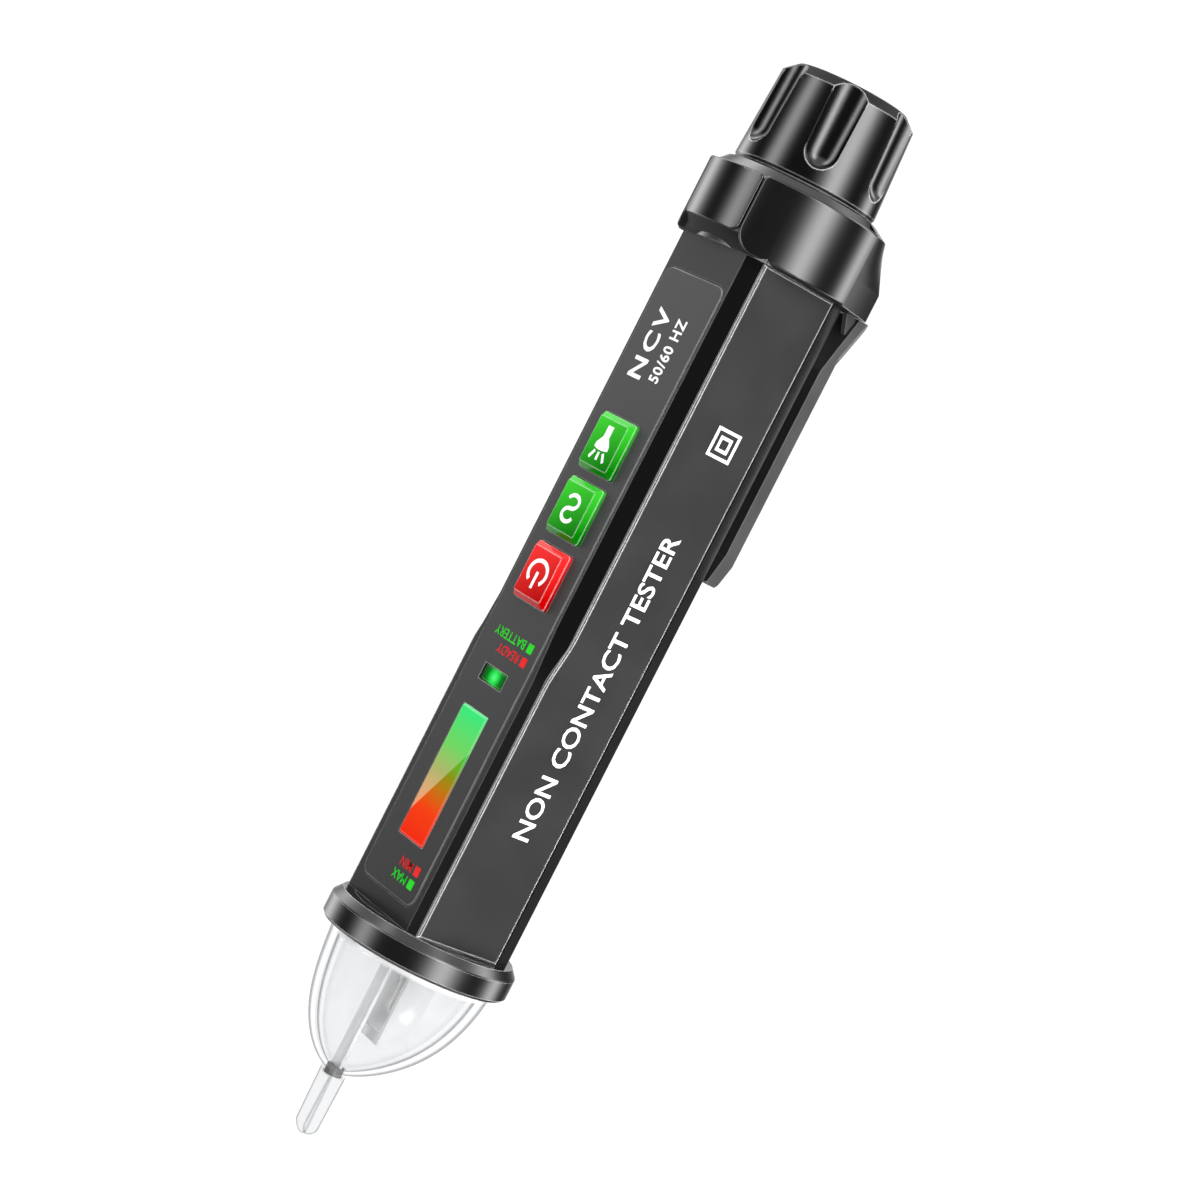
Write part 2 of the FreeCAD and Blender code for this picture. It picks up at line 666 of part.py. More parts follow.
def build():
    nodes = {
        "front_shell": front_shell(),
        "rear_shell": rear_shell(),
        "left_side_plate": side_plate(),
        "right_side_plate": mirror_x(side_plate()),
        "label_panel": label_panel(),
        "status_window": window(LED_WINDOW, -8.85, -7.6),
        "level_window": window(BAR_WINDOW, -9.2, -7.6),
        "level_light_guide": bar_light_guide(),
        "level_leds": bar_leds(),
        "status_led": status_led(),
        "circuit_board": circuit_board(),
        "main_chip": main_chip(),
        "board_components": board_components(),
        "switch_bodies": switch_bodies(),
        "buzzer": buzzer(),
        "antenna": antenna(),
        "sensor_plug": sensor_plug(),
        "led_holder": led_holder(),
        "torch_led": torch_led(),
        "nose_lens": nose_lens(),
        "nose_seal": nose_seal(),
        "front_ring": front_ring(),
        "battery_sleeve": battery_sleeve(),
        "rear_battery": battery(CELL_START),
        "front_battery": battery(CELL_START + CELL_LENGTH),
        "front_contact": front_contact(),
        "negative_strip": negative_strip(),
        "tail_contact": tail_contact(),
        "tail_spring": tail_spring(),
        "tail_knob": tail_knob(),
        "knob_seal": knob_seal(),
        "collar": collar(),
        "pocket_clip": pocket_clip(),
    }
    for name, station in BUTTON_STATIONS.items():
        nodes[name + "_button"] = button(station)
        nodes[name + "_plunger"] = switch_plunger(station)
    return nodes


os.makedirs("parts", exist_ok=True)
for node, shape in build().items():
    shape.exportStep("parts/" + node + ".step")
    print(node, "valid" if shape.isValid() else "INVALID", len(shape.Solids), round(shape.Volume, 2))
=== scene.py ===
import bmesh
import bpy
import math
from mathutils import Matrix, Vector


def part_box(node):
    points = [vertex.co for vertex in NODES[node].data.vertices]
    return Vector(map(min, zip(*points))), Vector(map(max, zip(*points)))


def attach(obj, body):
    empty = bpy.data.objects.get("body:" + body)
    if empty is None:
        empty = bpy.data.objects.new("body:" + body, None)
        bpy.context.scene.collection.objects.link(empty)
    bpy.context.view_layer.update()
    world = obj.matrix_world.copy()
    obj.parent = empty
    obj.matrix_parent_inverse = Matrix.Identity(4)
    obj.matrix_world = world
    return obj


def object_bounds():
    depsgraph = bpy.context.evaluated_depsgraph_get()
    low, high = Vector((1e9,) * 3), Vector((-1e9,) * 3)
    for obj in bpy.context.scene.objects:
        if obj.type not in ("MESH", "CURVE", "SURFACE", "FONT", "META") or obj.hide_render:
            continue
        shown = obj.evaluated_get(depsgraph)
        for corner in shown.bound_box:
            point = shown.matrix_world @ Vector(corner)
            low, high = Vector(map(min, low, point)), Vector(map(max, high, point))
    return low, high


# Non contact voltage tester: the looks. The pen stands on its tail, +Z to the tip, -Y is the
# button side and -X the left side. Lengths are metres; MM turns millimetres into metres.

MM = 0.001
X_AXIS = Vector((1, 0, 0))
Y_AXIS = Vector((0, 1, 0))
Z_AXIS = Vector((0, 0, 1))

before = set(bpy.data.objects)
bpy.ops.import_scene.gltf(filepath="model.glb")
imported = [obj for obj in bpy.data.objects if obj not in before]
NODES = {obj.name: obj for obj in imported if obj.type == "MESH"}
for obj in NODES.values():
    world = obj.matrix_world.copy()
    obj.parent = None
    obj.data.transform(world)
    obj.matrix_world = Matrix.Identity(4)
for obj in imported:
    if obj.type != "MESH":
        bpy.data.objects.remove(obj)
cad_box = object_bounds()
LOW, HIGH = cad_box

# The camera: degrees round from the button side towards the left side, above the level, and rolled
CAMERA_ROUND = 52.9
CAMERA_LIFT = -3.0
CAMERA_ROLL = 206.98
CAMERA_DISTANCE = 424.4 * MM
CAMERA_LENS = 96.0
CAMERA_SENSOR = 36.0
AIM_SIDEWAYS = -0.693 * MM
AIM_SHARE = 0.4789

# Tall softboxes round the pen: degrees on from the camera's side, spread in degrees, brightness
SOFTBOXES = (
    (-132, 12, 3.4),
    (-64, 9, 6.0),
    (38, 12, 11.0),
    (112, 9, 5.5),
    (180, 14, 0.8),
)
SURROUND_GLOW = 0.04
FLOOR_GLOW = 1.5
CEILING_GLOW = 1.2
BACKDROP_RADIUS = 3.0

# Surfaces: the finest grain, and the size of the soft cloudiness in films and gloss
GRAIN = 0.25 * MM
CLOUD = 7 * MM

# The knob's end bevel: its inner radius, how fast it widens, and its height
KNOB_FLAT_RADIUS = 7.9 * MM
BEVEL_SLOPE = 1.133
BEVEL_HEIGHT = 1.5 * MM

# Printed marks; the stations count from the tail end of the piece they are printed on, and
# KEY_ names belong to the coloured key beside each window
PRINT_DEPTH = 0.03 * MM
ICON_STROKE = 0.55 * MM
RAY_STROKE = 0.45 * MM
TITLE_STATION = 10.4 * MM
SIDE_WORDS_STATION = 58.7 * MM
SIDE_WORDS_SHIFT = -0.5 * MM
DOUBLE_SQUARE_STATION = 23.0 * MM
DOUBLE_SQUARE_STROKE = 0.42 * MM
KEY_SQUARE_HALF = 0.65 * MM
KEY_SQUARE_X = -4.6 * MM
KEY_WORD_X = -3.3 * MM
KEY_CAP = 1.3 * MM


# ---- shader helpers ----

def add(tree, kind, inputs=None, **settings):
    """A new node; each input is a value or the output socket to link in."""
    node = tree.nodes.new(kind)
    for name, value in settings.items():
        setattr(node, name, value)
    for name, value in (inputs or {}).items():
        if isinstance(value, bpy.types.NodeSocket):
            tree.links.new(value, node.inputs[name])
        else:
            node.inputs[name].default_value = value
    return node


def math_node(tree, operation, first, second=0.0, third=0.0):
    return add(tree, "ShaderNodeMath", {0: first, 1: second, 2: third}, operation=operation).outputs[0]


def ramped(tree, value, start, end, low=0.0, high=1.0, smooth=False):
    """The value mapped from start..end to low..high, held at both ends."""
    style = "SMOOTHSTEP" if smooth else "LINEAR"
    inputs = {"Value": value, "From Min": start, "From Max": end, "To Min": low, "To Max": high}
    return add(tree, "ShaderNodeMapRange", inputs, interpolation_type=style).outputs["Result"]


def mixed(tree, share, first, second):
    """The colour first turning into second as share goes from 0 to 1."""
    node = tree.nodes.new("ShaderNodeMix")
    node.data_type = "RGBA"
    sockets = {"Factor_Float": share, "A_Color": first, "B_Color": second}
    for identifier, value in sockets.items():
        socket = next(s for s in node.inputs if s.identifier == identifier)
        if isinstance(value, bpy.types.NodeSocket):
            tree.links.new(value, socket)
        else:
            socket.default_value = value
    return next(s for s in node.outputs if s.identifier == "Result_Color")


def shade(level):
    return (level, level, level, 1)


def blank(name):
    """A new material and its empty tree."""
    material = bpy.data.materials.new(name)
    material.use_nodes = True
    material.node_tree.nodes.clear()
    return material, material.node_tree


def output(tree, shader):
    add(tree, "ShaderNodeOutputMaterial", {"Surface": shader})


def noise(tree, size, detail=2.0):
    """Noise whose grains are about the given size, fixed to the piece."""
    place = add(tree, "ShaderNodeTexCoord").outputs["Object"]
    inputs = {"Vector": place, "Scale": 1 / size, "Detail": detail}
    return add(tree, "ShaderNodeTexNoise", inputs).outputs["Fac"]


def place_along(tree, axis):
    """The piece's own x, y or z, in metres."""
    place = add(tree, "ShaderNodeTexCoord").outputs["Object"]
    return add(tree, "ShaderNodeSeparateXYZ", {"Vector": place}).outputs[axis]


def distance_out(tree):
    """The distance from the pen's axis, in metres."""
    across = place_along(tree, "X")
    deep = place_along(tree, "Y")
    squares = math_node(tree, "MULTIPLY_ADD", across, across, math_node(tree, "MULTIPLY", deep, deep))
    return math_node(tree, "SQRT", squares)


def edge_mask(tree, width):
    """1 on the piece's hard edges and 0 on its faces."""
    rounded = add(tree, "ShaderNodeBevel", {"Radius": width}, samples=4).outputs["Normal"]
    actual = add(tree, "ShaderNodeNewGeometry").outputs["Normal"]
    inputs = {0: rounded, 1: actual}
    likeness = add(tree, "ShaderNodeVectorMath", inputs, operation="DOT_PRODUCT").outputs["Value"]
    return ramped(tree, likeness, 0.99, 0.86)


# ---- materials ----

def plastic(name, colour, roughness, mottle=0.10, edge_highlight=None, specular=0.5, matt_zone=None, highlight_zone=None):
    """Moulded plastic: slightly mottled, with painted highlights on its edges when given their (width,
    level). The two zone functions give the share that is matt and the share whose edges get the painted
    highlight."""
    material, tree = blank(name)
    broad = noise(tree, CLOUD)
    fine = noise(tree, GRAIN, 3.0)
    darker = tuple(channel * (1 - mottle) for channel in colour[:3]) + (1,)
    lighter = tuple(channel * (1 + mottle) for channel in colour[:3]) + (1,)
    tint = mixed(tree, ramped(tree, broad, 0.35, 0.65), darker, lighter)
    gloss = ramped(tree, broad, 0.3, 0.7, roughness * 0.95, roughness * 1.05)
    # Painted highlight: the hard edges are made lighter, up to the given level.
    if edge_highlight:
        width, level = edge_highlight
        highlight_share = edge_mask(tree, width)
        if highlight_zone:
            highlight_share = math_node(tree, "MULTIPLY", highlight_share, highlight_zone(tree))
        tint = mixed(tree, highlight_share, tint, shade(level))
    bump = add(tree, "ShaderNodeBump", {"Height": fine, "Strength": 0.02, "Distance": GRAIN * 0.1})
    shader = add(tree, "ShaderNodeBsdfPrincipled", {
        "Base Color": tint, "Roughness": gloss, "Normal": bump.outputs["Normal"],
        "Specular IOR Level": specular})
    if matt_zone:
        matt = add(tree, "ShaderNodeBsdfPrincipled", {
            "Base Color": tint, "Roughness": 0.6, "Specular IOR Level": 0.12})
        inputs = {0: matt_zone(tree), 1: shader.outputs[0], 2: matt.outputs[0]}
        shader = add(tree, "ShaderNodeMixShader", inputs)
    output(tree, shader.outputs[0])
    return material


def metal(name, colour, roughness, streak=0.4 * MM):
    """Drawn or plated metal with fine streaks along the pen."""
    material, tree = blank(name)
    place = add(tree, "ShaderNodeTexCoord").outputs["Object"]
    stretched = add(tree, "ShaderNodeMapping", {"Vector": place, "Scale": (1, 1, 0.05)}).outputs[0]
    inputs = {"Vector": stretched, "Scale": 1 / streak, "Detail": 3.0}
    streaks = add(tree, "ShaderNodeTexNoise", inputs).outputs["Fac"]
    dull = tuple(channel * 0.8 for channel in colour[:3]) + (1,)
    tint = mixed(tree, streaks, dull, colour)
    gloss = ramped(tree, streaks, 0.3, 0.7, roughness * 0.8, roughness * 1.25)
    shader = add(tree, "ShaderNodeBsdfPrincipled", {"Base Color": tint, "Roughness": gloss, "Metallic": 1.0})
    output(tree, shader.outputs[0])
    return material


def colour_ramp(tree, share, stops):
    """A colour that runs through (share, colour) stops."""
    ramp = add(tree, "ShaderNodeValToRGB", {"Fac": share})
    bands = ramp.color_ramp
    while len(bands.elements) < len(stops):
        bands.elements.new(0.5)
    for element, (position, colour) in zip(bands.elements, stops):
        element.position = position
        element.color = colour + (1,)
    return ramp.outputs["Color"]


def clear_plastic(name):
    """The clear nose: see-through, with painted shade along its outline and a painted highlight line just
    inside it, and frosted where it meets the ring.
    """
    material, tree = blank(name)
    ring_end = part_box("front_ring")[1].z
    blade_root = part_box("sensor_plug")[1].z
    along = place_along(tree, "Z")
    # The colour follows the view: painted shade where the walls turn away, with a painted highlight line just
    # inside it.
    facing = add(tree, "ShaderNodeLayerWeight", {"Blend": 0.5}).outputs["Facing"]
    wall = (0.955, 0.96, 0.965)
    highlight_white = (1.0, 1.0, 1.0)
    stops = ((0.0, wall), (0.42, wall), (0.54, (0.88, 0.885, 0.89)), (0.60, highlight_white), (0.70, highlight_white),
             (0.78, (0.70, 0.71, 0.72)), (1.0, (0.54, 0.55, 0.56)))
    seen = colour_ramp(tree, facing, stops)
    blade = ramped(tree, along, blade_root - 0.6 * MM, blade_root, 0.0, 1.0, True)
    seen = mixed(tree, math_node(tree, "MULTIPLY", blade, 0.75), seen, (0.91, 0.913, 0.916, 1))
    # Painted shade: a dark outline along the blade's edges.
    outline = math_node(tree, "MULTIPLY", edge_mask(tree, 0.60 * MM), blade)
    seen = mixed(tree, outline, seen, (0.36, 0.37, 0.38, 1))
    body = add(tree, "ShaderNodeBsdfTransparent", {"Color": seen})
    frost = ramped(tree, along, ring_end + 0.5 * MM, ring_end + 1.3 * MM, 0.85, 0.0, True)
    haze = ramped(tree, noise(tree, 3 * MM), 0.3, 0.7, 0.05, 0.09)
    cloud = math_node(tree, "MAXIMUM", haze, frost)
    milk = add(tree, "ShaderNodeBsdfPrincipled", {"Base Color": (0.55, 0.55, 0.56, 1), "Roughness": 0.12})
    whole = add(tree, "ShaderNodeMixShader", {0: cloud, 1: body.outputs[0], 2: milk.outputs[0]})
    output(tree, whole.outputs[0])
    return material


def level_glow(name, low, high):
    """The lit level window: green at its tail end through yellow and orange to red at its tip end."""
    material, tree = blank(name)
    across = place_along(tree, "X")
    along = place_along(tree, "Z")
    share = ramped(tree, along, low.z, high.z)
    stops = ((0.0, (0.0, 0.85, 0.20)), (0.30, (0.01, 0.62, 0.03)), (0.48, (0.25, 0.30, 0.0)),
             (0.62, (0.60, 0.16, 0.0)), (0.76, (0.94, 0.05, 0.0)), (1.0, (0.92, 0.018, 0.0)))
    tint = colour_ramp(tree, share, stops)
    height = high.z - low.z
    # Painted glare: a lighter veil, stronger towards the tip, on the tail side of a slanting line, standing
    # for a reflection.
    boundary = ramped(tree, across, low.x, high.x, low.z + 0.27 * height, low.z + 0.84 * height)
    inside = math_node(tree, "SUBTRACT", boundary, along)
    glare = ramped(tree, inside, -0.10 * MM, 0.10 * MM)
    glare_share = math_node(tree, "MULTIPLY", glare, ramped(tree, share, 0.0, 0.6, 0.03, 0.32))
    tint = mixed(tree, glare_share, tint, (0.9, 1.0, 0.55, 1))
    # Painted highlight along the window's edges, strongest at its tail end.
    highlight_share = math_node(tree, "MULTIPLY", edge_mask(tree, 0.26 * MM), ramped(tree, share, 0.0, 0.9, 0.9, 0.25))
    tint = mixed(tree, highlight_share, tint, (0.75, 0.85, 0.75, 1))
    shader = add(tree, "ShaderNodeBsdfPrincipled", {
        "Base Color": (0.001, 0.001, 0.001, 1), "Roughness": 0.12, "Specular IOR Level": 0.06,
        "Emission Color": tint, "Emission Strength": 0.97})
    output(tree, shader.outputs[0])
    return material


def status_glow(name, low, high):
    """The small green window with a lit LED behind its middle."""
    material, tree = blank(name)
    middle = Vector(((low.x + high.x) / 2, low.y, (low.z + high.z) / 2))
    place = add(tree, "ShaderNodeTexCoord").outputs["Object"]
    away = add(tree, "ShaderNodeVectorMath", {0: place, 1: middle}, operation="DISTANCE").outputs["Value"]
    stops = ((0.0, (0.12, 1.0, 0.26)), (0.24, (0.02, 0.85, 0.09)), (0.55, (0.0, 0.22, 0.01)),
             (1.0, (0.0, 0.03, 0.002)))
    tint = colour_ramp(tree, ramped(tree, away, 0.0, 2.9 * MM), stops)
    # Painted highlight along the window's edges.
    highlight_share = math_node(tree, "MULTIPLY", edge_mask(tree, 0.20 * MM), 0.6)
    tint = mixed(tree, highlight_share, tint, (0.35, 0.5, 0.36, 1))
    shader = add(tree, "ShaderNodeBsdfPrincipled", {
        "Base Color": (0.0, 0.003, 0.0, 1), "Roughness": 0.1, "Specular IOR Level": 0.06,
        "Emission Color": tint, "Emission Strength": 0.95})
    output(tree, shader.outputs[0])
    return material


def button_plastic(name, deep, light, low, high):
    """Glossy translucent button plastic, with painted light that makes it lighter towards the tail, and
    painted highlights on its edges.
    """
    material, tree = blank(name)
    # Painted light: a slanting gradient, lighter towards the tail.
    slant = math_node(tree, "MULTIPLY_ADD", place_along(tree, "X"), -0.45, place_along(tree, "Z"))
    share = ramped(tree, slant, low.z, high.z, 1.0, 0.0)
    tint = mixed(tree, share, deep + (1,), light + (1,))
    # Painted highlight on the edges.
    highlight_share = math_node(tree, "MULTIPLY", edge_mask(tree, 0.24 * MM), 0.75)
    tint = mixed(tree, highlight_share, tint, shade(0.60))
    speck = ramped(tree, noise(tree, 1.5 * MM), 0.3, 0.7, 0.10, 0.15)
    shader = add(tree, "ShaderNodeBsdfPrincipled", {
        "Base Color": tint, "Roughness": speck, "Specular IOR Level": 0.06})
    output(tree, shader.outputs[0])
    return material


def dress(node, material):
    """Gives a CAD node its material in every slot."""
    mesh = NODES[node].data
    mesh.materials.clear()
    mesh.materials.append(material)


# ---- printed marks ----

def face_frame(centre, right, up):
    """The matrix that stands flat artwork on a face: right and up lie in the face."""
    outward = right.cross(up)
    turned = Matrix((right, up, outward)).transposed().to_4x4()
    return Matrix.Translation(centre) @ turned


def finish_piece(piece, body, material):
    piece.data.materials.clear()
    piece.data.materials.append(material)
    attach(piece, body)
    return piece


def printed(name, outlines, place):
    """Flat artwork from closed outlines, as one thin raised piece."""
    shape = bmesh.new()
    for outline in outlines:
        lower = [shape.verts.new((x, y, -PRINT_DEPTH)) for x, y in outline]
        face = shape.faces.new(lower)
        raised = bmesh.ops.extrude_face_region(shape, geom=[face])["geom"]
        top = [element for element in raised if isinstance(element, bmesh.types.BMVert)]
        bmesh.ops.translate(shape, verts=top, vec=(0, 0, 2 * PRINT_DEPTH))
    bmesh.ops.recalc_face_normals(shape, faces=shape.faces)
    mesh = bpy.data.meshes.new(name)
    shape.to_mesh(mesh)
    shape.free()
    mesh.transform(place)
    piece = bpy.data.objects.new(name, mesh)
    bpy.context.scene.collection.objects.link(piece)
    return piece


def ribbon(points, width):
    """A stroke along a line of points, as one four-cornered outline for each step."""
    left, right = [], []
    for index, point in enumerate(points):
        before = points[max(index - 1, 0)]
        after = points[min(index + 1, len(points) - 1)]
        along = (Vector(after) - Vector(before)).normalized()
        side = Vector((-along.y, along.x)) * (width / 2)
        left.append(Vector(point) + side)
        right.append(Vector(point) - side)
    quads = []
    for index in range(len(points) - 1):
        quads.append([left[index], left[index + 1], right[index + 1], right[index]])
    return quads


def arc(centre, radius, start, end, steps=24):
    """Points on an arc between two angles in degrees."""
    points = []
    for index in range(steps + 1):
        angle = math.radians(start + (end - start) * index / steps)
        points.append((centre[0] + radius * math.cos(angle), centre[1] + radius * math.sin(angle)))
    return points


def scaled(points, size, widen=1.0):
    return [(x * size * widen, y * size) for x, y in points]


def lettering(name, text, cap, length, place, bold=0.0, spacing=1.0):
    """A line of lettering, fitted to its cap height and its length, as a thin raised piece."""
    curve = bpy.data.curves.new(name, "FONT")
    curve.body = text
    curve.resolution_u = 3
    curve.offset = bold
    curve.space_character = spacing
    curve.extrude = 0.01
    drawn = bpy.data.objects.new(name + "_drawn", curve)
    bpy.context.scene.collection.objects.link(drawn)
    bpy.context.view_layer.update()
    mesh = bpy.data.meshes.new_from_object(drawn.evaluated_get(bpy.context.evaluated_depsgraph_get()))
    bpy.data.objects.remove(drawn)
    spans = []
    for axis in range(3):
        reach = [vertex.co[axis] for vertex in mesh.vertices]
        spans.append((min(reach), max(reach)))
    goal = (length, cap, 2 * PRINT_DEPTH)
    for vertex in mesh.vertices:
        for axis, (low, high) in enumerate(spans):
            vertex.co[axis] = ((vertex.co[axis] - low) / (high - low) - 0.5) * goal[axis]
    mesh.transform(place)
    mesh.name = name
    piece = bpy.data.objects.new(name, mesh)
    bpy.context.scene.collection.objects.link(piece)
    return piece


# ---- the studio ----

def make_camera():
    camera = bpy.data.objects.new("camera", bpy.data.cameras.new("camera"))
    bpy.context.scene.collection.objects.link(camera)
    turn = math.radians(CAMERA_ROUND)
    lift = math.radians(CAMERA_LIFT)
    roll = math.radians(CAMERA_ROLL)
    back = Vector((-math.sin(turn) * math.cos(lift), -math.cos(turn) * math.cos(lift), math.sin(lift)))
    level = Vector((math.cos(turn), -math.sin(turn), 0))
    upright = back.cross(level)
    right = level * math.cos(roll) + upright * math.sin(roll)
    up = upright * math.cos(roll) - level * math.sin(roll)
    aim = level * AIM_SIDEWAYS + Z_AXIS * (LOW.z + AIM_SHARE * (HIGH.z - LOW.z))
    turned = Matrix((right, up, back)).transposed().to_4x4()
    camera.matrix_world = Matrix.Translation(aim + back * CAMERA_DISTANCE) @ turned
    camera.data.lens = CAMERA_LENS
    camera.data.sensor_width = CAMERA_SENSOR
    camera.data.clip_start = 0.02
    camera.data.clip_end = 20.0
    bpy.context.scene.camera = camera


def make_world():
    """Soft studio light from tall softboxes round the pen, with a floor and a ceiling glow."""
    world = bpy.data.worlds.new("studio")
    bpy.context.scene.world = world
    world.use_nodes = True
    tree = world.node_tree
    tree.nodes.clear()
    direction = add(tree, "ShaderNodeTexCoord").outputs["Generated"]
    flat = add(tree, "ShaderNodeVectorMath", {0: direction, 1: (1, 1, 0)}, operation="MULTIPLY").outputs[0]
    bearing = add(tree, "ShaderNodeVectorMath", {0: flat}, operation="NORMALIZE").outputs[0]
    height = add(tree, "ShaderNodeSeparateXYZ", {"Vector": direction}).outputs["Z"]
    total = SURROUND_GLOW
    for round_from_camera, spread, brightness in SOFTBOXES:
        turn = math.radians(CAMERA_ROUND + round_from_camera)
        towards = (-math.sin(turn), -math.cos(turn), 0)
        inputs = {0: bearing, 1: towards}
        closeness = add(tree, "ShaderNodeVectorMath", inputs, operation="DOT_PRODUCT").outputs["Value"]
        tightness = 1 / math.radians(spread) ** 2
        power = math_node(tree, "MULTIPLY_ADD", closeness, tightness, -tightness)
        falloff = math_node(tree, "EXPONENT", power)
        total = math_node(tree, "MULTIPLY_ADD", falloff, brightness, total)
    upper = ramped(tree, height, 0.92, 0.45, 0.0, 1.0, True)
    lower = ramped(tree, height, -0.97, -0.75, 0.0, 1.0, True)
    sides = math_node(tree, "MULTIPLY", math_node(tree, "MULTIPLY", total, upper), lower)
    floor = ramped(tree, height, -0.45, -0.8, 0.0, FLOOR_GLOW, True)
    ceiling = ramped(tree, height, 0.6, 0.95, 0.0, CEILING_GLOW, True)
    whole = math_node(tree, "ADD", math_node(tree, "ADD", sides, floor), ceiling)
    light = add(tree, "ShaderNodeBackground", {"Color": (1, 1, 1, 1), "Strength": whole})
    add(tree, "ShaderNodeOutputWorld", {"Surface": light.outputs[0]})


def staged(name, shape, material):
    """A stage object that is seen but neither lights the pen nor mirrors in it."""
    mesh = bpy.data.meshes.new(name)
    shape.to_mesh(mesh)
    shape.free()
    mesh.materials.append(material)
    piece = bpy.data.objects.new(name, mesh)
    bpy.context.scene.collection.objects.link(piece)
    piece.visible_diffuse = False
    piece.visible_glossy = False
    piece.visible_shadow = False
    return piece


def make_stage():
    """A plain pale floor inside a white backdrop."""
    white, tree = blank("backdrop_white")
    output(tree, add(tree, "ShaderNodeEmission", {"Color": (1, 1, 1, 1), "Strength": 1.05}).outputs[0])
    shape = bmesh.new()
    bmesh.ops.create_uvsphere(shape, u_segments=48, v_segments=24, radius=BACKDROP_RADIUS)
    staged("backdrop", shape, white)
    pale, tree = blank("floor_pale")
    matt = add(tree, "ShaderNodeBsdfDiffuse", {"Color": shade(0.75)})
    glow = add(tree, "ShaderNodeEmission", {"Color": (1, 1, 1, 1), "Strength": 1.1})
    surface = add(tree, "ShaderNodeMixShader", {0: 0.88, 1: matt.outputs[0], 2: glow.outputs[0]})
    output(tree, surface.outputs[0])
    shape = bmesh.new()
    bmesh.ops.create_grid(shape, x_segments=8, y_segments=8, size=BACKDROP_RADIUS * 0.95)
    bmesh.ops.translate(shape, verts=shape.verts, vec=(0, 0, LOW.z - 0.02 * MM))
    staged("floor", shape, pale)


# ---- the pen ----

def dress_housing():
    dress("front_shell", shell_front("shell_front"))
    dress("rear_shell", plastic("shell_rear", shade(0.002), 0.20, edge_highlight=(0.14 * MM, 0.04), specular=0.2))
    plate = plastic("side_plate", shade(0.013), 0.30, edge_highlight=(0.26 * MM, 0.85), specular=0.35)
    dress("left_side_plate", plate)
    dress("right_side_plate", plate)
    dress("label_panel", label_film("label_film"))
    dress("collar", plastic("collar_gloss", shade(0.004), 0.12, edge_highlight=(0.18 * MM, 0.25),
                            matt_zone=collar_band, highlight_zone=collar_bulges))
    dress("front_ring", plastic("ring_satin", shade(0.004), 0.16, edge_highlight=(0.16 * MM, 0.45)))
    dress("nose_lens", clear_plastic("clear_nose"))


def collar_band(tree):
    """1 on the collar's tapered tip side, inside its raised bulges."""
    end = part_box("collar")[1].z
    inside = ramped(tree, distance_out(tree), 12.80 * MM, 12.65 * MM)
    taper = ramped(tree, place_along(tree, "Z"), end - 2.2 * MM, end - 1.9 * MM)
    return math_node(tree, "MULTIPLY", inside, taper)


def collar_bulges(tree):
    """1 on the collar's raised pads and bulges, where the edges get the painted highlight."""
    return ramped(tree, distance_out(tree), 12.35 * MM, 12.50 * MM)


def knob_bevel(tree):
    """1 on the cone between the knob's flat end and its lobes, and 0 inside the flutes."""
    above = math_node(tree, "SUBTRACT", place_along(tree, "Z"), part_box("tail_knob")[0].z)
    cone = math_node(tree, "MULTIPLY_ADD", above, BEVEL_SLOPE, KNOB_FLAT_RADIUS)
    inside = math_node(tree, "SUBTRACT", distance_out(tree), cone)
    on_cone = ramped(tree, inside, -0.16 * MM, -0.08 * MM)
    below_top = ramped(tree, above, BEVEL_HEIGHT + 0.04 * MM, BEVEL_HEIGHT - 0.02 * MM)
    return math_node(tree, "MULTIPLY", on_cone, below_top)


def flute_ends(tree):
    """How strong the painted highlight on the flutes' lips is: 1 round the ball ends, 0.7 at the tail end,
    faint between.
    """
    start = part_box("tail_knob")[0].z
    along = place_along(tree, "Z")
    ball = ramped(tree, along, start + 9.2 * MM, start + 11.6 * MM, 0.0, 1.0, True)
    highlight_share = ramped(tree, along, start + 2.6 * MM, start + 1.7 * MM, 0.05, 0.7, True)
    return math_node(tree, "MAXIMUM", ball, highlight_share)


def shell_front(name):
    """The front shell: near black on its bevels, with painted light that makes its flat front lighter towards
    the tail, and painted highlights on its edges.
    """
    material, tree = blank(name)
    low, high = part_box("front_shell")
    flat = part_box("label_panel")[0].y + 0.15 * MM
    # Painted light: the flat front is lighter towards the tail.
    along = ramped(tree, place_along(tree, "Z"), low.z, high.z)
    face = mixed(tree, along, shade(0.029), shade(0.008))
    front = ramped(tree, place_along(tree, "Y"), flat + 0.10 * MM, flat + 0.03 * MM)
    tint = mixed(tree, front, shade(0.002), face)
    # Painted highlight on the edges.
    tint = mixed(tree, edge_mask(tree, 0.14 * MM), tint, shade(0.16))
    gloss = ramped(tree, noise(tree, CLOUD), 0.0, 1.0, 0.21, 0.22)
    shader = add(tree, "ShaderNodeBsdfPrincipled", {
        "Base Color": tint, "Roughness": gloss, "Specular IOR Level": 0.35})
    output(tree, shader.outputs[0])
    return material


def label_film(name):
    """The front label: smooth satin film, with painted light that makes it a little lighter towards the tail,
    and painted highlights on its edges.
    """
    material, tree = blank(name)
    low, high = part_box("label_panel")
    # Painted light: lighter towards the tail.
    share = ramped(tree, place_along(tree, "Z"), low.z, high.z)
    tint = mixed(tree, share, shade(0.038), shade(0.008))
    # Painted highlight on the edges.
    tint = mixed(tree, edge_mask(tree, 0.20 * MM), tint, shade(0.30))
    gloss = ramped(tree, noise(tree, CLOUD), 0.0, 1.0, 0.27, 0.29)
    shader = add(tree, "ShaderNodeBsdfPrincipled", {
        "Base Color": tint, "Roughness": gloss, "Specular IOR Level": 0.35})
    output(tree, shader.outputs[0])
    return material


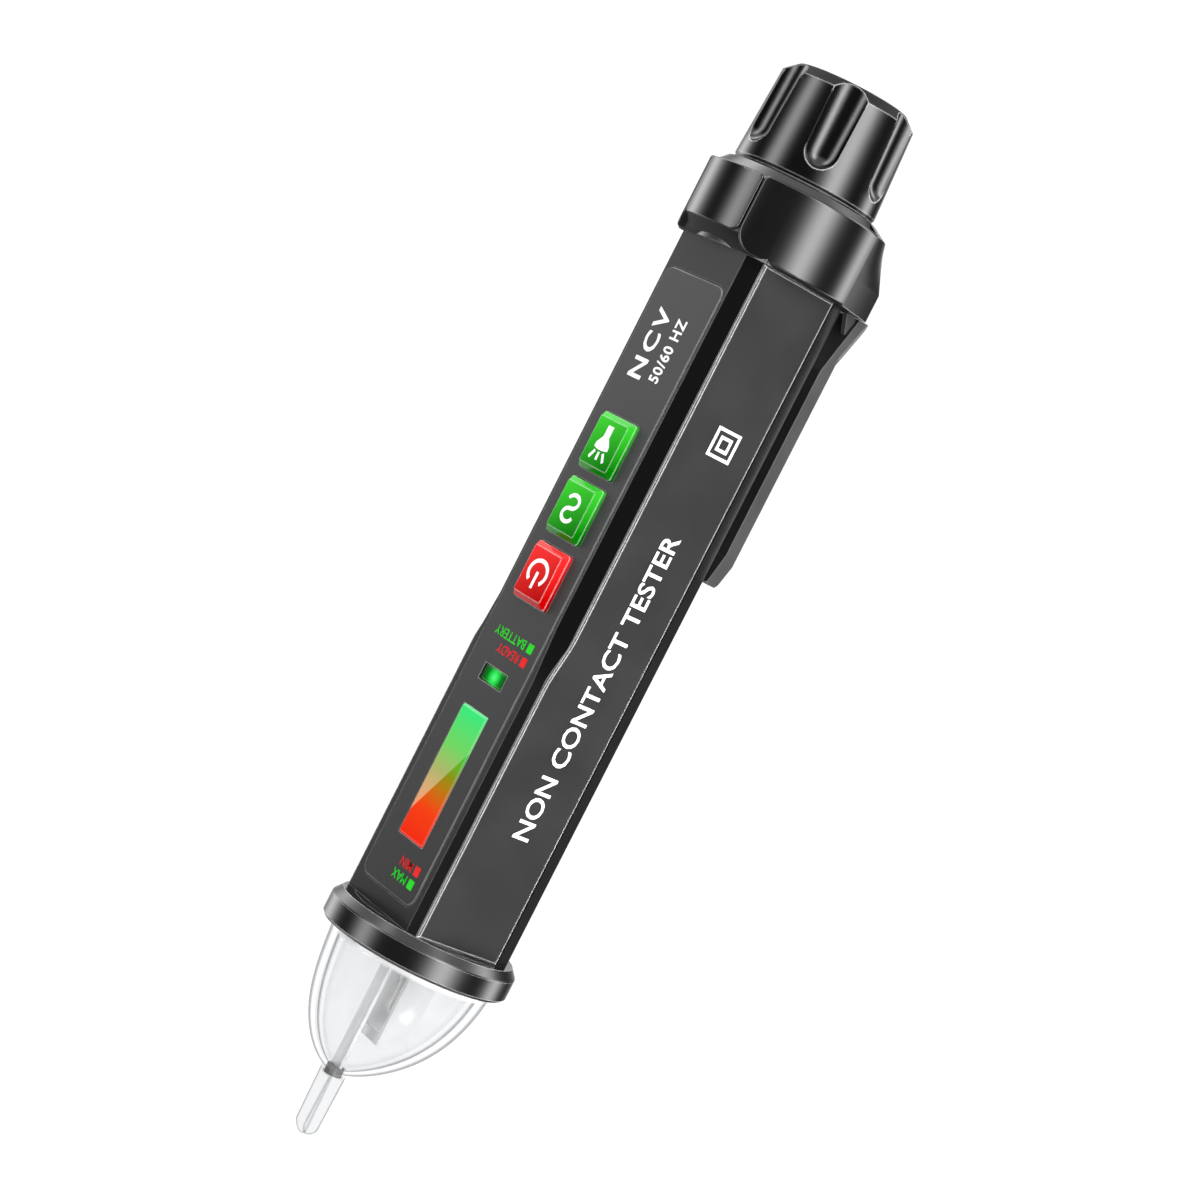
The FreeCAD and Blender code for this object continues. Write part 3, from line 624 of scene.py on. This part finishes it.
def dress_front():
    for node in ("torch_button", "mode_button"):
        dress(node, button_plastic(node + "_green", (0.0, 0.11, 0.0), (0.03, 0.40, 0.02), *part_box(node)))
    low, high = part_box("power_button")
    dress("power_button", button_plastic("power_button_red", (0.30, 0.0, 0.0), (0.60, 0.02, 0.02), low, high))
    dress("level_window", level_glow("level_glow", *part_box("level_window")))
    dress("status_window", status_glow("status_glow", *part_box("status_window")))


def dress_tail():
    dress("tail_knob", plastic("knob_gloss", shade(0.002), 0.10, edge_highlight=(0.30 * MM, 0.45),
                               matt_zone=knob_bevel, highlight_zone=flute_ends))
    dress("pocket_clip", plastic("clip_satin", shade(0.028), 0.32, edge_highlight=(0.16 * MM, 0.15)))
    dress("knob_seal", plastic("seal_rubber", shade(0.012), 0.6))
    dress("nose_seal", plastic("gasket_rubber", shade(0.012), 0.6))


def dress_inside():
    """The pieces inside. Only the holder, the LED, the plug and the antenna show through the nose."""
    dress("circuit_board", plastic("solder_mask", (0.01, 0.09, 0.03, 1), 0.3, mottle=0.2))
    dress("main_chip", plastic("chip_resin", shade(0.02), 0.5))
    dress("board_components", plastic("ceramic_blocks", (0.30, 0.22, 0.15, 1), 0.5, mottle=0.3))
    dress("buzzer", plastic("buzzer_case", shade(0.015), 0.4))
    dress("sensor_plug", plastic("plug_rubber", shade(0.03), 0.6))
    dress("battery_sleeve", plastic("sleeve", shade(0.06), 0.5))
    for node in ("rear_battery", "front_battery"):
        dress(node, plastic("jacket_" + node, (0.04, 0.16, 0.38, 1), 0.25, mottle=0.15))
    for node in ("level_leds", "status_led", "torch_led"):
        dress(node, plastic("lens_" + node, (0.85, 0.85, 0.82, 1), 0.1, mottle=0.03))
    dress("level_light_guide", plastic("milky_guide", (0.8, 0.8, 0.78, 1), 0.4, mottle=0.04))
    dress("led_holder", holder_white("holder_white"))
    for name in ("torch", "mode", "power"):
        dress(name + "_plunger", plastic(name + "_plunger_plastic", (0.5, 0.5, 0.48, 1), 0.4))
    steel = metal("nickel_steel", (0.62, 0.61, 0.59, 1), 0.25)
    for node in ("switch_bodies", "front_contact", "tail_contact", "tail_spring"):
        dress(node, steel)
    dress("antenna", metal("tinned_strip", (0.62, 0.62, 0.62, 1), 0.45))
    dress("negative_strip", metal("brass_strip", (0.72, 0.52, 0.22, 1), 0.25))


def holder_white(name):
    """The milky holder, with a painted glow and a painted bright spot that stand for light from the torch
    LED's bulb behind it.
    """
    material, tree = blank(name)
    low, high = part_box("torch_led")
    bulb = Vector((0, (low.y + high.y) / 2, high.z - 1.5 * MM))
    place = add(tree, "ShaderNodeTexCoord").outputs["Object"]
    flat = add(tree, "ShaderNodeVectorMath", {0: place, 1: (0, 1, 1)}, operation="MULTIPLY").outputs[0]
    away = add(tree, "ShaderNodeVectorMath", {0: flat, 1: bulb}, operation="DISTANCE").outputs["Value"]
    # Painted highlight: a bright spot where the bulb's light would show through the holder.
    painted_glow_spot = ramped(tree, away, 1.5 * MM, 0.6 * MM, 0.0, 1.0, True)
    cloud = ramped(tree, noise(tree, 4 * MM), 0.3, 0.7, 0.30, 0.34)
    grey = add(tree, "ShaderNodeCombineColor", {"Red": cloud, "Green": cloud, "Blue": cloud}).outputs[0]
    tint = mixed(tree, painted_glow_spot, grey, shade(0.40))
    # The emission is a painted glow; the holder is no lamp.
    shader = add(tree, "ShaderNodeBsdfPrincipled", {
        "Base Color": tint, "Roughness": 0.4, "Specular IOR Level": 0.2,
        "Emission Color": tint, "Emission Strength": 0.5})
    output(tree, shader.outputs[0])
    return material


def ink(name, colour):
    """Printed ink with a slightly uneven film."""
    material, tree = blank(name)
    film = noise(tree, 0.6 * MM)
    thin = tuple(channel * 0.9 for channel in colour) + (1,)
    tint = mixed(tree, film, thin, colour + (1,))
    shader = add(tree, "ShaderNodeBsdfPrincipled", {
        "Base Color": tint, "Roughness": ramped(tree, film, 0.3, 0.7, 0.35, 0.5),
        "Specular IOR Level": 0.15})
    output(tree, shader.outputs[0])
    return material


def button_icons(white):
    """Raised white icons: a torch, a wave turned on end and the power sign, with the tip upwards."""
    torch = [scaled([(-0.65, -2.5), (0.65, -2.5), (0.65, -0.9), (1.5, 0.1), (1.6, 0.75),
                     (0.55, 0.95), (-0.55, 0.95), (-1.6, 0.75), (-1.5, 0.1), (-0.65, -0.9)], MM)]
    for lean in (-0.85, 0.0, 0.85):
        torch += ribbon(scaled([(lean * 1.15, 1.2), (lean * 2.0, 2.35)], MM), RAY_STROKE)
    bend = 0.92 * MM
    wave = scaled(arc((0, bend), bend, 165, -90) + arc((0, -bend), bend, 90, 345)[1:], 1, 1.4)
    ring = ribbon(scaled(arc((0, -0.1 * MM), 1.65 * MM, 130, 410, 40), 1, 1.25), ICON_STROKE)
    bar = ribbon(scaled([(0, -0.2), (0, 2.15)], MM), ICON_STROKE)
    art = {"torch": torch, "mode": ribbon(wave, ICON_STROKE), "power": ring + bar}
    for name, outlines in art.items():
        low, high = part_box(name + "_button")
        middle = Vector((0, low.y, (low.z + high.z) / 2))
        icon = printed(name + "_icon", outlines, face_frame(middle, X_AXIS, Z_AXIS))
        finish_piece(icon, name + "_button", white)


def square(centre, half):
    x, y = centre
    return [(x - half, y - half), (x + half, y - half), (x + half, y + half), (x - half, y + half)]


def label_legends():
    """The coloured key beside each window: a square and a word, with the tip upwards."""
    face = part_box("label_panel")[0].y
    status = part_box("status_window")[0].z
    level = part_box("level_window")[1].z
    green = ink("ink_green", (0.0, 0.45, 0.0))
    red = ink("ink_red", (0.50, 0.0, 0.0))
    rows = (
        ("battery", "BATTERY", status - 4.65 * MM, 7.6 * MM, green, "green_button"),
        ("ready", "READY", status - 2.65 * MM, 5.4 * MM, red, "red_button"),
        ("min", "MIN", level + 2.9 * MM, 3.0 * MM, red, "red_button"),
        ("max", "MAX", level + 4.8 * MM, 3.6 * MM, green, "green_button"),
    )
    for name, text, station, length, material, slot in rows:
        place = face_frame(Vector((0, face, station)), X_AXIS, Z_AXIS)
        mark = printed(name + "_mark", [square((KEY_SQUARE_X, 0), KEY_SQUARE_HALF)], place)
        finish_piece(mark, "housing", material)
        middle = Vector((KEY_WORD_X + length / 2, face, station))
        place = face_frame(middle, X_AXIS, Z_AXIS)
        word = lettering(name + "_word", text, KEY_CAP, length, place, 0.004)
        finish_piece(word, "housing", material)


def label_titles(white):
    """Two short generic lines near the tail, read from tip to tail."""
    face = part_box("label_panel")[0].y
    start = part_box("label_panel")[0].z
    lines = (
        ("title_line", "NCV", 3.1 * MM, 10.0 * MM, 2.4 * MM, 1.25),
        ("rating_line", "50/60 HZ", 2.2 * MM, 9.0 * MM, -1.9 * MM, 1.1),
    )
    for name, text, cap, length, sideways, spacing in lines:
        middle = Vector((sideways, face, start + TITLE_STATION))
        line = lettering(name, text, cap, length, face_frame(middle, -Z_AXIS, X_AXIS), 0.02, spacing)
        finish_piece(line, "housing", white)


def side_marks(white):
    """The lettering and the double square on the left side plate."""
    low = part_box("left_side_plate")[0]
    words = Vector((low.x, SIDE_WORDS_SHIFT, low.z + SIDE_WORDS_STATION))
    text = lettering("side_words", "NON CONTACT TESTER", 2.8 * MM, 44.4 * MM,
                     face_frame(words, -Z_AXIS, -Y_AXIS), 0.012)
    finish_piece(text, "housing", white)
    centre = Vector((low.x, 0, low.z + DOUBLE_SQUARE_STATION))
    outlines = []
    for half in (1.85 * MM, 0.85 * MM):
        inner = half - DOUBLE_SQUARE_STROKE / 2
        outer = half + DOUBLE_SQUARE_STROKE / 2
        side = [(-outer, outer), (outer, outer), (inner, inner), (-inner, inner)]
        for turn in range(4):
            cosine = math.cos(math.radians(90 * turn))
            sine = math.sin(math.radians(90 * turn))
            outlines.append([(x * cosine - y * sine, x * sine + y * cosine) for x, y in side])
    sign = printed("double_square", outlines, face_frame(centre, Z_AXIS, Y_AXIS))
    finish_piece(sign, "housing", white)


bpy.context.scene.view_settings.view_transform = "Standard"
make_camera()
make_world()
make_stage()
dress_housing()
dress_front()
dress_tail()
dress_inside()
white_ink = ink("ink_white", (0.75, 0.75, 0.75))
button_icons(white_ink)
label_legends()
label_titles(white_ink)
side_marks(white_ink)
